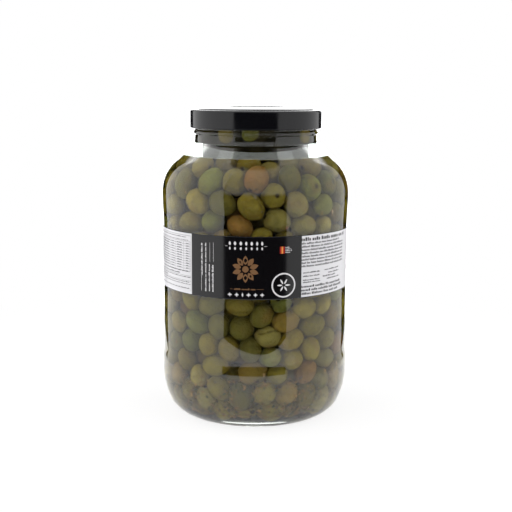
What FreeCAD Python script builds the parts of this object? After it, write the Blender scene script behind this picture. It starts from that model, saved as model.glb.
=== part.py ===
"""Catering-size glass jar of green olives in brine, shut with a black twist-off lid.

Millimetres, +Z up. The origin is at the centre of the foot ring, on the surface that
the jar stands on. The middle of the label faces a little to the left of -Y.
Every sub-part is written to parts/NODE.step.
"""
import FreeCAD, Part
import math
import os

Vector = FreeCAD.Vector
AXIS_POINT = Vector(0, 0, 0)
AXIS_UP = Vector(0, 0, 1)

# ---- driving dimensions: glass jar ----
BODY_R = 80.3            # widest outside radius, above and below the label panel
PANEL_RECESS = 0.7       # the label panel lies this much behind the body
PANEL_Z0 = 50.0          # lower edge of the step into the label panel
PANEL_Z1 = 175.0         # upper edge of the step out of the label panel
PANEL_STEP = 6.0         # height over which each step fades out
WALL = 3.0               # glass behind the label
HEEL_SIDE_R = 60.4       # long curve where the wall starts to turn in
HEEL_CORNER_R = 21.1     # tighter curve down to the foot
HEEL_BLEND = 25.0        # degrees of the turn that the long curve takes
FOOT_WIDTH = 4.0         # flat ring that the jar stands on
PUSH_UP = 6.0            # height of the hollow under the base
HEEL_EXTRA = 3.5         # more glass at the heel than in the wall
BASE_T = 6.5             # glass at the centre of the base
SHOULDER_Z = 190.3       # where the shoulder starts
SHOULDER_R = 39.6
SHOULDER_ANGLE = 46.6    # degrees from upright on the straight part of the shoulder
NECK_FILLET = 5.0
NECK_R = 52.3
BEAD_UP = 5.4            # middle of the bead above the foot of the neck
BEAD_H = 3.6
BEAD_OUT = 1.2

# ---- driving dimensions: twist-off lid ----
LID_OVER_NECK = 4.05     # how far the lid stands out beyond the neck
LID_T = 0.5              # tinplate with its lacquer
LID_SKIRT_UP = 8.7       # lower edge of the lid above the foot of the neck
LID_SKIRT_H = 14.1       # upright part of the skirt with its curl
LID_CORNER_R = 1.4
CURL_R = 1.1             # rolled lower edge
STEP_IN = 6.4            # middle of the small step up to the panel, in from the lid's edge
STEP_H = 1.0
STEP_ANGLE = 65.0        # steepness of that step, degrees
STEP_BEND_R = 0.7
CROWN_IN = 17.5          # where the panel's gentle rise levels out, in from the lid's edge
CROWN_H = 1.4            # how much it rises inside the step
STACK_IN = 26.35         # middle of the slope down to the sunk centre, in from the lid's edge
STACK_DROP = 0.8
STACK_ANGLE = 30.0
SEAL_GAP = 0.2           # lid above the rim of the glass

# ---- driving dimensions: label ----
LABEL_DROP = 6.0         # top edge of the label below the top of the straight panel
LABEL_H = 50.6
LABEL_T = 0.15
LABEL_GLUE = 0.05
LABEL_LEFT = -88.0       # degrees round from -Y, towards -X
LABEL_RIGHT = 76.3       # degrees round from -Y, towards +X

# ---- driving dimensions: contents ----
BRINE_DROP = 15.3        # brine's surface below the foot of the neck
BRINE_CLEAR = 0.1        # brine to glass
OLIVE_R = 10.6           # half the thickness of the largest olive
OLIVE_SPREAD = 1.2       # how much thinner the smallest is, in half thickness
OLIVE_CLEAR = 0.7        # nearest an olive comes to the glass
OLIVE_PITCH = 2.057      # olive to olive along a ring, over OLIVE_R
OLIVE_DRIFT = 1.3        # most that an olive lies out of line with its ring
ROW_PITCH = 1.774        # ring to ring, over OLIVE_R
OLIVE_BURIED = 1.9       # how far an olive's middle lies inside the core of the heap
HEAP_BELOW_RIM = 7.0     # top of the olives below the rim of the glass

# ---- sizes that follow ----
PANEL_R = BODY_R - PANEL_RECESS
INNER_R = PANEL_R - WALL
SHOULDER_WALL = BODY_R - INNER_R
HEEL_A = math.radians(HEEL_BLEND)
HEEL_W = HEEL_SIDE_R * (1 - math.cos(HEEL_A)) + HEEL_CORNER_R * math.cos(HEEL_A)
HEEL_Z = HEEL_SIDE_R * math.sin(HEEL_A) + HEEL_CORNER_R * (1 - math.sin(HEEL_A))
FOOT_R = BODY_R - HEEL_W
FLOOR_RISE = SHOULDER_WALL + HEEL_EXTRA
SLOPE_A = math.radians(SHOULDER_ANGLE)
SLOPE_RUN = (BODY_R - NECK_R - (SHOULDER_R + NECK_FILLET) * (1 - math.cos(SLOPE_A))) / math.sin(SLOPE_A)
NECK_Z = SHOULDER_Z + (SHOULDER_R + NECK_FILLET) * math.sin(SLOPE_A) + SLOPE_RUN * math.cos(SLOPE_A)
LID_R = NECK_R + LID_OVER_NECK
STEP_R = LID_R - STEP_IN
CROWN_R = LID_R - CROWN_IN
STACK_R = LID_R - STACK_IN
LID_Z0 = NECK_Z + LID_SKIRT_UP
LID_RING_Z = LID_Z0 + LID_SKIRT_H + LID_CORNER_R
RIM_Z = LID_RING_Z - LID_T - SEAL_GAP
BRINE_Z = NECK_Z - BRINE_DROP
LABEL_Z0 = PANEL_Z1 - PANEL_STEP - LABEL_DROP - LABEL_H
HEAP_Z = RIM_Z - HEAP_BELOW_RIM


def point(r, z):
    """A point of a profile, at radius r and height z."""
    return Vector(r, 0, z)


class Outline:
    """A profile drawn as a pen moves: straight lines and arcs, end to end."""

    def __init__(self, r, z):
        self.edges = []
        self.here = point(r, z)

    def line(self, r, z):
        there = point(r, z)
        if there.distanceToPoint(self.here) > 1e-6:
            self.edges.append(Part.LineSegment(self.here, there).toShape())
            self.here = there
        return self

    def through(self, mid, end):
        """Arc through the middle point to the end point."""
        self.edges.append(Part.Arc(self.here, point(*mid), point(*end)).toShape())
        self.here = point(*end)
        return self

    def arc(self, centre, radius, start, end):
        """Arc about a centre, from one angle to another, in degrees from +r towards +z."""
        spots = []
        for angle in (start, (start + end) / 2, end):
            a = math.radians(angle)
            spots.append((centre[0] + radius * math.cos(a), centre[1] + radius * math.sin(a)))
        self.line(*spots[0])
        return self.through(spots[1], spots[2])

    def start(self):
        return self.edges[0].Vertexes[0].Point

    def revolve(self, other=None):
        """Close the outline, round the second outline if there is one, and turn it about the axis."""
        edges = list(self.edges)
        if other is None:
            edges.append(Part.LineSegment(self.here, self.start()).toShape())
        else:
            edges += other.edges
            edges.append(Part.LineSegment(self.here, other.here).toShape())
        face = Part.Face(Part.Wire(Part.__sortEdges__(edges)))
        return face.revolve(AXIS_POINT, AXIS_UP, 360).Solids[0]


def heel(outline, inset, lift):
    """Foot to wall, set in from the outside by inset and moved up by lift."""
    outline.arc((FOOT_R, HEEL_CORNER_R + lift), HEEL_CORNER_R - inset, -90, -HEEL_BLEND)
    return outline.arc((BODY_R - HEEL_SIDE_R, HEEL_Z + lift), HEEL_SIDE_R - inset, -HEEL_BLEND, 0)


def shoulder(outline, inset):
    """Wall to neck, set in from the outside by inset."""
    outline.arc((BODY_R - SHOULDER_R, SHOULDER_Z), SHOULDER_R - inset, 0, SHOULDER_ANGLE)
    centre = (NECK_R + NECK_FILLET, NECK_Z)
    return outline.arc(centre, NECK_FILLET + inset, 180 + SHOULDER_ANGLE, 180)


def hollow(inset):
    """The space inside the glass, set in from the glass by inset, and open at the rim."""
    top = RIM_Z + 1
    depth = SHOULDER_WALL + inset
    floor = FLOOR_RISE + inset
    rise = PUSH_UP + BASE_T + inset
    outline = Outline(0, rise)
    outline.through((FOOT_R / 2, floor + (rise - floor) * 0.75), (FOOT_R, floor))
    heel(outline, depth, floor - depth)
    outline.line(INNER_R - inset, SHOULDER_Z)
    shoulder(outline, depth)
    outline.line(NECK_R - depth, top)
    outline.line(0, top)
    return outline.revolve()


def make_jar():
    """Glass jar: pushed-up base, heel, sunk label panel, shoulder, neck with its bead, round rim."""
    outline = Outline(0, PUSH_UP)
    outline.through(((FOOT_R - FOOT_WIDTH) / 2, PUSH_UP * 0.75), (FOOT_R - FOOT_WIDTH, 0))
    outline.line(FOOT_R, 0)
    heel(outline, 0, 0)
    outline.line(BODY_R, PANEL_Z0)
    outline.line(PANEL_R, PANEL_Z0 + PANEL_STEP)
    outline.line(PANEL_R, PANEL_Z1 - PANEL_STEP)
    outline.line(BODY_R, PANEL_Z1)
    outline.line(BODY_R, SHOULDER_Z)
    shoulder(outline, 0)
    bead_z = NECK_Z + BEAD_UP
    outline.line(NECK_R, bead_z - BEAD_H / 2)
    outline.through((NECK_R + BEAD_OUT, bead_z), (NECK_R, bead_z + BEAD_H / 2))
    rim_r = SHOULDER_WALL / 2
    outline.arc((NECK_R - rim_r, RIM_Z - rim_r), rim_r, 0, 180)
    outline.line(0, RIM_Z - rim_r)
    blank = outline.revolve()
    return blank.cut(hollow(0)).Solids[0]


def ledge(outline, middle, z, rise, angle, inset):
    """From a flat at height z, inwards over a slope, to a flat higher or lower by rise."""
    a = math.radians(angle)
    upright = abs(rise) - 2 * STEP_BEND_R * (1 - math.cos(a))
    half_run = STEP_BEND_R * math.sin(a) + upright / math.tan(a) / 2
    outer, inner = middle + half_run, middle - half_run
    hollow_bend, round_bend = STEP_BEND_R + inset, STEP_BEND_R - inset
    if rise > 0:
        outline.arc((outer, z + STEP_BEND_R), hollow_bend, -90, -90 - angle)
        outline.arc((inner, z + rise - STEP_BEND_R), round_bend, 90 - angle, 90)
    else:
        outline.arc((outer, z - STEP_BEND_R), round_bend, 90, 90 + angle)
        outline.arc((inner, z + rise + STEP_BEND_R), hollow_bend, angle - 90, -90)


def lid_outline(inset):
    """One side of the lid's sheet, from the curl to the axis: 0 outside, LID_T inside."""
    curl_z = LID_Z0 + CURL_R
    corner = (LID_R - LID_CORNER_R, LID_RING_Z - LID_CORNER_R)
    if inset:
        meet = math.acos((CURL_R - inset) / CURL_R)
        outline = Outline(LID_R - inset, curl_z + CURL_R * math.sin(meet))
    else:
        meet = math.acos((CURL_R - LID_T) / CURL_R)
        outline = Outline(LID_R - LID_T, curl_z + CURL_R * math.sin(meet))
        outline.arc((LID_R - CURL_R, curl_z), CURL_R, math.degrees(meet), 360)
    outline.arc(corner, LID_CORNER_R - inset, 0, 90)
    ledge(outline, STEP_R, LID_RING_Z, STEP_H, STEP_ANGLE, inset)
    foot_r, foot_z = outline.here.x, outline.here.z
    outline.through(((foot_r + CROWN_R) / 2, foot_z + CROWN_H * 0.75), (CROWN_R, foot_z + CROWN_H))
    ledge(outline, STACK_R, LID_RING_Z + STEP_H + CROWN_H, -STACK_DROP, STACK_ANGLE, inset)
    outline.line(0, LID_RING_Z + STEP_H + CROWN_H - STACK_DROP - inset)
    return outline


def make_lid():
    """Twist-off lid of lacquered tinplate: rolled edge, skirt, flat ring, stepped and crowned panel."""
    return lid_outline(0).revolve(lid_outline(LID_T))


def make_label():
    """Label wrapped round the sunk panel, open at the back of the jar."""
    inner = PANEL_R + LABEL_GLUE
    outer = inner + LABEL_T
    outline = Outline(inner, LABEL_Z0).line(outer, LABEL_Z0)
    outline.line(outer, LABEL_Z0 + LABEL_H).line(inner, LABEL_Z0 + LABEL_H).line(inner, LABEL_Z0)
    strip = Part.Face(Part.Wire(outline.edges))
    strip.rotate(AXIS_POINT, AXIS_UP, LABEL_LEFT - 90)
    return strip.revolve(AXIS_POINT, AXIS_UP, LABEL_RIGHT - LABEL_LEFT).Solids[0]


def make_brine(heap):
    """Brine, from the glass up to its level, round the heap of olives that stands out of it."""
    below = Part.makeCylinder(BODY_R, BRINE_Z)
    return hollow(BRINE_CLEAR).common(below).cut(heap).Solids[0]


def olive_path():
    """Where the middles of the outer olives lie: a list of radius and height.

    The path follows the inside of the glass, set in by half an olive and its clearance,
    across the floor, up the heel, the wall and the shoulder. A little under the brine's
    surface it runs in to the neck, then up the neck and in over the top.
    """
    reach = OLIVE_R + OLIVE_CLEAR
    inset = SHOULDER_WALL + reach
    crown = PUSH_UP + BASE_T - FLOOR_RISE
    spots = []
    for share in (0.25, 0.5, 0.75):
        spots.append((FOOT_R * share, FLOOR_RISE + crown * (1 - share ** 2) + reach))

    def bend(r, z, radius, start, end, steps):
        for step in range(steps + 1):
            a = math.radians(start + (end - start) * step / steps)
            spots.append((r + radius * math.cos(a), z + radius * math.sin(a)))

    bend(FOOT_R, HEEL_CORNER_R + HEEL_EXTRA, HEEL_CORNER_R - inset, -90, -HEEL_BLEND, 6)
    bend(BODY_R - HEEL_SIDE_R, HEEL_Z + HEEL_EXTRA, HEEL_SIDE_R - inset, -HEEL_BLEND, 0, 3)
    bend(BODY_R - SHOULDER_R, SHOULDER_Z, SHOULDER_R - inset, 0, SHOULDER_ANGLE, 6)
    spots.append((NECK_R - inset + OLIVE_R / 2, BRINE_Z - OLIVE_R))
    spots.append((NECK_R - inset, BRINE_Z))
    spots.append((NECK_R - inset, HEAP_Z - OLIVE_R))
    spots.append(((NECK_R - inset) / 3, HEAP_Z - OLIVE_R))
    return spots


def along(spots, pitch):
    """Evenly spaced places on a path, about one pitch apart: radius, height and direction."""
    lengths = [0.0]
    for a, b in zip(spots, spots[1:]):
        lengths.append(lengths[-1] + math.hypot(b[0] - a[0], b[1] - a[1]))
    count = round(lengths[-1] / pitch)
    places = []
    for k in range(count + 1):
        want = lengths[-1] * k / count
        i = max(j for j in range(len(spots) - 1) if lengths[j] <= want + 1e-9)
        run = lengths[i + 1] - lengths[i]
        way = ((spots[i + 1][0] - spots[i][0]) / run, (spots[i + 1][1] - spots[i][1]) / run)
        step = want - lengths[i]
        places.append((spots[i][0] + step * way[0], spots[i][1] + step * way[1], way))
    return places


def uneven(number, salt):
    """A value from -1 to 1 that looks random and is the same every time."""
    return 2 * ((number * 0.6180339887 + salt * 0.7548776662) % 1) - 1


def make_olive(half):
    """One olive about the origin, its poles along X."""
    olive = Part.makeSphere(half)
    olive.rotate(AXIS_POINT, Vector(0, 1, 0), 90)
    return olive


def ring_of_olives(r, z, way, turn, first):
    """A ring of olives against the glass, each with its own size and drift."""
    count = int(2 * math.pi * r / (OLIVE_R * OLIVE_PITCH))
    olives = []
    for k in range(count):
        number = first + k
        half = OLIVE_R - OLIVE_SPREAD * (1 + uneven(number, 1)) / 2
        to_glass = OLIVE_R - half
        drift = OLIVE_DRIFT * uneven(number, 2)
        olive = make_olive(half)
        olive.rotate(AXIS_POINT, Vector(0, 1, 0), math.degrees(math.atan2(way[0], way[1])))
        olive.translate(point(r + way[1] * to_glass + way[0] * drift, z - way[0] * to_glass + way[1] * drift))
        olive.rotate(AXIS_POINT, AXIS_UP, 360 * (k + turn + 0.1 * uneven(number, 4)) / count)
        olives.append(olive)
    return olives


def make_heap():
    """The olives as one solid: a core, and the outer olives standing out of it."""
    places = along(olive_path(), OLIVE_R * ROW_PITCH)
    olives = []
    for row, (r, z, way) in enumerate(places):
        olives += ring_of_olives(r, z, way, 0.5 * (row % 2), len(olives))
    core = Outline(0, places[0][1] - OLIVE_BURIED)
    for r, z, way in places:
        core.line(r + OLIVE_BURIED * way[1], z - OLIVE_BURIED * way[0])
    core.line(0, places[-1][1] + OLIVE_BURIED)
    return core.revolve().multiFuse(olives).Solids[0]


def main():
    heap = make_heap()
    nodes = {
        "jar": make_jar(),
        "lid": make_lid(),
        "label": make_label(),
        "olives": heap,
        "brine": make_brine(heap),
    }
    os.makedirs("parts", exist_ok=True)
    for name, solid in nodes.items():
        solid.exportStep(f"parts/{name}.step")
        print(f"{name}: {solid.Volume / 1000:.1f} cm3, valid {solid.isValid()}")
    print(f"height {nodes['lid'].BoundBox.ZMax:.2f}, widest {2 * BODY_R:.2f}")


main()
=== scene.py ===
"""A large clear glass jar of green olives in brine, with a black twist-off lid and a paper label.

The object is in the part's own frame, in metres with +Z up: the foot of the jar stands on
Z = 0 and the middle of the label faces -Y. Sizes inside the sections are in millimetres.
"""

import math

import bpy
import numpy as np
from mathutils import Matrix


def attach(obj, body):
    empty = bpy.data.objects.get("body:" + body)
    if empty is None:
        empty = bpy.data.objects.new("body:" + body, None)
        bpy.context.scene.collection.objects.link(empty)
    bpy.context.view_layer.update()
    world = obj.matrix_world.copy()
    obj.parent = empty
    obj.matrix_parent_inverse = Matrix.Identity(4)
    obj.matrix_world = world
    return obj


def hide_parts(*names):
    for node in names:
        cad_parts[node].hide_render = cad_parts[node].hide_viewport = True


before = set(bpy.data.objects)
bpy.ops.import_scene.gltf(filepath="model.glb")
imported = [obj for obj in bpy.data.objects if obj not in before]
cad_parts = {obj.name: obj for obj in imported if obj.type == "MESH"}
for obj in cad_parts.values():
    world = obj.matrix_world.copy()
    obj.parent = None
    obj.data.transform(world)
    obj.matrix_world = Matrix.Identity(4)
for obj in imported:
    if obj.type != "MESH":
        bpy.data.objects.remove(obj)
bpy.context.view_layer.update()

# ---- studio ----
# A camera a little above the lid, two tall soft boxes beside the jar, a smaller one above it, and
# a white room and table. In mirrors the room is dark but for its lit parts, and the table is small.
MM = 0.001
CAMERA_AT = (0.81, -854.5, 280.5)
CAMERA_PITCH = 9.72
CAMERA_ROLL = 0.352
CAMERA_LENS = 70.2
SIDE_BOX_X = 800.0
SIDE_BOX_Y = (-1060.0, 800.0)
SIDE_BOX_Z = (-600.0, 2600.0)
SIDE_BOX_LIGHT = 1.65
RIGHT_BOX_SHARE = 0.82
TOP_BOX_Z = 1150.0
TOP_BOX_SIZE = 1100.0
TOP_BOX_LIGHT = 2.0
ROOM_LIGHT = 0.4
FRONT_EDGE = (math.radians(36), math.radians(39))
GAP_FROM = (math.radians(128), math.radians(136))
GAP_TO = (math.radians(155), math.radians(158))
HIGH_FRONT = (0.1, 0.26)
OVERHEAD = (0.92, 0.98)
HIGH_BACK = (0.46, 0.58)
BOX_TOP = 2.95
HIGH_LIGHT = 1.3
BACK_LIGHT = 3.6
TABLE_FRONT = -325.0
TABLE_SIZE = 1600.0
TABLE_TOP = (215.0, 400.0)
TABLE_GLOW = 0.6
TABLE_GREY = 0.86
TABLE_FADE = (0.12, 0.5, 0.84, 1.0)
TABLE_DROP = 0.2

camera = bpy.data.objects.new("camera", bpy.data.cameras.new("camera"))
bpy.context.scene.collection.objects.link(camera)
camera.data.lens = CAMERA_LENS
camera.data.clip_start = 0.02
camera.matrix_world = (
    Matrix.Translation([c * MM for c in CAMERA_AT])
    @ Matrix.Rotation(math.radians(90 - CAMERA_PITCH), 4, "X")
    @ Matrix.Rotation(math.radians(CAMERA_ROLL), 4, "Z")
)
bpy.context.scene.camera = camera
bpy.context.scene.view_settings.view_transform = "Standard"


class Recipe:
    """The nodes of one material or world, put together from left to right."""

    def __init__(self, tree):
        self.tree = tree
        self.tree.nodes.clear()

    def node(self, kind, inputs=(), **settings):
        made = self.tree.nodes.new(kind)
        for key, value in settings.items():
            setattr(made, key, value)
        for key, value in dict(inputs).items():
            self.feed(made.inputs[key], value)
        return made

    def feed(self, socket, value):
        if isinstance(value, bpy.types.NodeSocket):
            self.tree.links.new(value, socket)
        else:
            socket.default_value = value

    def math(self, operation, *values):
        made = self.node("ShaderNodeMath", operation=operation)
        for socket, value in zip(made.inputs, values):
            self.feed(socket, value)
        return made.outputs[0]

    def ramp(self, value, low, high, out_low=0.0, out_high=1.0):
        """Smooth step of value, from out_low at low to out_high at high."""
        inputs = {
            "Value": value, "From Min": low, "From Max": high, "To Min": out_low, "To Max": out_high,
        }
        return self.node("ShaderNodeMapRange", inputs, interpolation_type="SMOOTHSTEP").outputs[0]

    def blend(self, share, a, b):
        """Colour a, blended with colour b by share."""
        made = self.node("ShaderNodeMix", data_type="RGBA")
        for socket, value in ((made.inputs[0], share), (made.inputs[6], a), (made.inputs[7], b)):
            self.feed(socket, value)
        return made.outputs[2]


def soft_box(name, centre, size, turn, light, mirrored):
    """A flat lamp of some brightness. It is seen in mirrors and glass only where mirrored is true."""
    lamp = bpy.data.lights.new(name, "AREA")
    lamp.shape = "RECTANGLE"
    lamp.size, lamp.size_y = size[0] * MM, size[1] * MM
    lamp.energy = light * math.pi * lamp.size * lamp.size_y
    box = bpy.data.objects.new(name, lamp)
    bpy.context.scene.collection.objects.link(box)
    box.matrix_world = Matrix.Translation([c * MM for c in centre]) @ turn
    box.visible_camera = False
    box.visible_glossy = mirrored


box_size = (SIDE_BOX_Z[1] - SIDE_BOX_Z[0], SIDE_BOX_Y[1] - SIDE_BOX_Y[0])
for side, name in ((-1, "soft_box_left"), (1, "soft_box_right")):
    centre = (side * SIDE_BOX_X, sum(SIDE_BOX_Y) / 2, sum(SIDE_BOX_Z) / 2)
    turn = Matrix.Rotation(math.radians(90 * side), 4, "Y")
    light = SIDE_BOX_LIGHT * (1.0 if side < 0 else RIGHT_BOX_SHARE)
    soft_box(name, centre, box_size, turn, light, True)
top_size = (TOP_BOX_SIZE, TOP_BOX_SIZE)
soft_box("soft_box_top", (0, 0, TOP_BOX_Z), top_size, Matrix.Identity(4), TOP_BOX_LIGHT, False)

world = bpy.data.worlds.new("studio")
bpy.context.scene.world = world
world.use_nodes = True
room = Recipe(world.node_tree)
rays = room.node("ShaderNodeLightPath").outputs
outward = room.node("ShaderNodeTexCoord").outputs["Generated"]
place = room.node("ShaderNodeSeparateXYZ", {0: outward}).outputs
forward = room.math("MULTIPLY", place["Y"], -1.0)
sideways = room.math("ABSOLUTE", room.math("ARCTAN2", place["X"], forward))
in_front = room.ramp(sideways, *FRONT_EDGE, 1.0, 0.0)
front = room.math("MULTIPLY", in_front, room.ramp(place["Z"], *HIGH_FRONT))
behind = room.ramp(sideways, *GAP_TO)
box_edge = room.math("MULTIPLY", room.math("ABSOLUTE", place["X"]), BOX_TOP)
over_box = room.math("SUBTRACT", place["Z"], box_edge)
over_gap = room.math("MULTIPLY", room.ramp(sideways, *GAP_FROM), room.ramp(place["Z"], *HIGH_BACK))
high = room.math("MAXIMUM", front, room.math("MAXIMUM", room.ramp(over_box, 0.0, 0.03), over_gap))
high = room.math("MULTIPLY", high, room.ramp(sideways, *GAP_FROM, HIGH_LIGHT, BACK_LIGHT))
high = room.math("MULTIPLY", high, room.ramp(place["Z"], *OVERHEAD, 1.0, 0.0))
lit_part = room.math("MAXIMUM", room.math("MULTIPLY", behind, BACK_LIGHT), high)
seen = room.math("MAXIMUM", rays["Is Camera Ray"], rays["Is Transmission Ray"])
seen = room.math("MAXIMUM", seen, room.math("MULTIPLY", rays["Is Glossy Ray"], lit_part))
seen = room.math("MULTIPLY", seen, room.math("LESS_THAN", rays["Diffuse Depth"], 0.5))
after_bounce = room.math("GREATER_THAN", rays["Diffuse Depth"], 0.5)
strength = room.math("MAXIMUM", seen, room.math("MULTIPLY", ROOM_LIGHT, after_bounce))
backdrop = room.node("ShaderNodeBackground", {"Color": (1, 1, 1, 1), "Strength": strength})
room.node("ShaderNodeOutputWorld", {"Surface": backdrop.outputs[0]})

table = bpy.data.objects.new("table", bpy.data.meshes.new("table"))
bpy.context.scene.collection.objects.link(table)
corners = [(x * TABLE_SIZE, y * TABLE_SIZE) for x, y in ((-1, -1), (1, -1), (1, 1), (-1, 1))]
table.data.from_pydata([(x * MM, y * MM, -TABLE_DROP * MM) for x, y in corners], [], [(0, 1, 2, 3)])
table_top = bpy.data.materials.new("table_top")
table_top.use_nodes = True
top = Recipe(table_top.node_tree)
rays = top.node("ShaderNodeLightPath").outputs
spot = top.node("ShaderNodeTexCoord").outputs["Object"]
where = top.node("ShaderNodeSeparateXYZ", {0: spot}).outputs
plain = top.node("ShaderNodeBsdfDiffuse", {"Color": (TABLE_GREY, TABLE_GREY, TABLE_GREY, 1)})
glow = top.node("ShaderNodeEmission", {"Color": (1, 1, 1, 1), "Strength": 1.0})
seen = top.math("MAXIMUM", rays["Is Camera Ray"], rays["Is Transmission Ray"])
seen = top.math("MULTIPLY", seen, top.math("LESS_THAN", rays["Diffuse Depth"], 0.5))
from_middle = top.node("ShaderNodeVectorMath", {0: spot}, operation="LENGTH").outputs["Value"]
away = top.ramp(from_middle, *TABLE_FADE)
glowing = top.math("MULTIPLY", seen, away)
both = top.node("ShaderNodeMixShader", {0: glowing, 1: plain.outputs[0], 2: glow.outputs[0]})
mirrored_glow = top.math("MULTIPLY", rays["Is Glossy Ray"], TABLE_GLOW)
shine = top.node("ShaderNodeEmission", {"Color": (1, 1, 1, 1), "Strength": mirrored_glow})
both = top.node("ShaderNodeAddShader", {0: both.outputs[0], 1: shine.outputs[0]})
past_side = top.math("GREATER_THAN", top.math("ABSOLUTE", where["X"]), TABLE_TOP[0] * MM)
past_back = top.math("GREATER_THAN", where["Y"], TABLE_TOP[1] * MM)
past_front = top.math("LESS_THAN", where["Y"], TABLE_FRONT * MM)
past = top.math("MAXIMUM", top.math("MAXIMUM", past_side, past_back), past_front)
past = top.math("MULTIPLY", past, top.math("SUBTRACT", rays["Is Glossy Ray"], seen))
nothing = top.node("ShaderNodeBsdfTransparent")
both = top.node("ShaderNodeMixShader", {0: past, 1: both.outputs[0], 2: nothing.outputs[0]})
top.node("ShaderNodeOutputMaterial", {"Surface": both.outputs[0]})
table.data.materials.append(table_top)

# ---- glass jar ----
# Pressed clear soda-lime glass in one piece: pushed-up base, heel, sunk label panel, shoulder
# and neck with its bead. Its walls wave a little. Its inside is wet below the level of the brine
# and in the neck, and dry between them.
BODY_R, PANEL_R, INNER_R = 80.3, 79.6, 76.6
PANEL_Z = (49.0, 57.0, 163.5, 187.0)
HEEL_SIDE_R, HEEL_CORNER_R, HEEL_BLEND = 60.4, 21.1, 25.0
PUSH_UP, FOOT_WIDTH, BASE_T, HEEL_EXTRA = 6.0, 4.0, 6.5, 3.5
SHOULDER_Z, SHOULDER_R, SHOULDER_ANGLE = 190.3, 39.6, 46.6
NECK_R, NECK_FILLET = 52.3, 5.0
BEAD_UP, BEAD_OUT, BEAD_IN, BEAD_TURN = 5.4, 1.2, 0.75, 67
SKIRT_UP, SKIRT_H, LID_CORNER_R, LID_T, SEAL_GAP = 8.7, 14.1, 1.4, 0.5, 0.2
WAVE_Z, WAVE_R, WAVE_H = (22.0, 47.0, 222.0, 236.0), (50.0, 70.0), 0.05
JAR_TURNS, NECK_ROWS, FINISH_ROWS, BORE_ROWS = 256, 4, 14, 12
GLASS_T = BODY_R - INNER_R
GLASS_IOR, BRINE_IOR = 1.5, 1.345
BRINE_BELOW_NECK, HEAP_BELOW_RIM, WET_BELOW_NECK = 15.3, 5.0, 4.5
blend_a, slope_a = math.radians(HEEL_BLEND), math.radians(SHOULDER_ANGLE)
FOOT_R = BODY_R - HEEL_SIDE_R * (1 - math.cos(blend_a)) - HEEL_CORNER_R * math.cos(blend_a)
HEEL_Z = HEEL_SIDE_R * math.sin(blend_a) + HEEL_CORNER_R * (1 - math.sin(blend_a))
slope_run = (BODY_R - NECK_R - (SHOULDER_R + NECK_FILLET) * (1 - math.cos(slope_a))) / math.sin(slope_a)
NECK_Z = SHOULDER_Z + (SHOULDER_R + NECK_FILLET) * math.sin(slope_a) + slope_run * math.cos(slope_a)
RIM_Z = NECK_Z + SKIRT_UP + SKIRT_H + LID_CORNER_R - LID_T - SEAL_GAP
BORE_R = NECK_R - GLASS_T
BRINE_Z = NECK_Z - BRINE_BELOW_NECK
HEAP_TOP = RIM_Z - HEAP_BELOW_RIM


def bow(centre, radius, start, end, steps):
    """Arc of a profile: centre plus radius times cosine and sine of an angle from start to end."""
    a = np.radians(np.linspace(start, end, steps))
    return np.stack([centre[0] + radius * np.cos(a), centre[1] + radius * np.sin(a)], 1)


def run(a, b, steps):
    """Straight stretch of a profile, without its ends."""
    share = np.linspace(0, 1, steps + 2)[1:-1, None]
    return np.array(a) * (1 - share) + np.array(b) * share


def wall(inset, lift):
    """Heel to the top of the shoulder: the outside when inset is 0, else a line set in by inset."""
    side, high = BODY_R - inset, SHOULDER_Z
    low = bow((FOOT_R, HEEL_CORNER_R + lift), HEEL_CORNER_R - inset, -90, -HEEL_BLEND, 22)
    heel = bow((BODY_R - HEEL_SIDE_R, HEEL_Z + lift), HEEL_SIDE_R - inset, -HEEL_BLEND, 0, 16)
    middle = run((side, heel[-1][1]), (side, high), 60)
    over = bow((BODY_R - SHOULDER_R, SHOULDER_Z), SHOULDER_R - inset, 0, SHOULDER_ANGLE, 24)
    neck = bow((NECK_R + NECK_FILLET, NECK_Z), NECK_FILLET + inset, 180 + SHOULDER_ANGLE, 180, 14)
    return np.concatenate([low, heel[1:], middle, over, run(over[-1], neck[0], 8), neck])


def cut_at(profile, height, above=False):
    """The part of a rising profile below a height, or above it, ending or starting exactly there."""
    r = np.interp(height, profile[:, 1], profile[:, 0])
    if above:
        return np.concatenate([[(r, height)], profile[profile[:, 1] > height + 0.01]])
    return np.concatenate([profile[profile[:, 1] < height - 0.01], [(r, height)]])


def sunk_panel(profile):
    """Sets the outside wall in by the depth of the label panel, with an eased step at each end."""
    r, z = profile[:, 0], profile[:, 1]
    rise = np.clip((z - PANEL_Z[0]) / (PANEL_Z[1] - PANEL_Z[0]), 0, 1)
    fall = np.clip((PANEL_Z[3] - z) / (PANEL_Z[3] - PANEL_Z[2]), 0, 1)
    depth = (rise ** 2 * (3 - 2 * rise)) * (fall ** 2 * (3 - 2 * fall)) * (BODY_R - PANEL_R)
    return np.stack([r - depth, z], 1)


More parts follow.
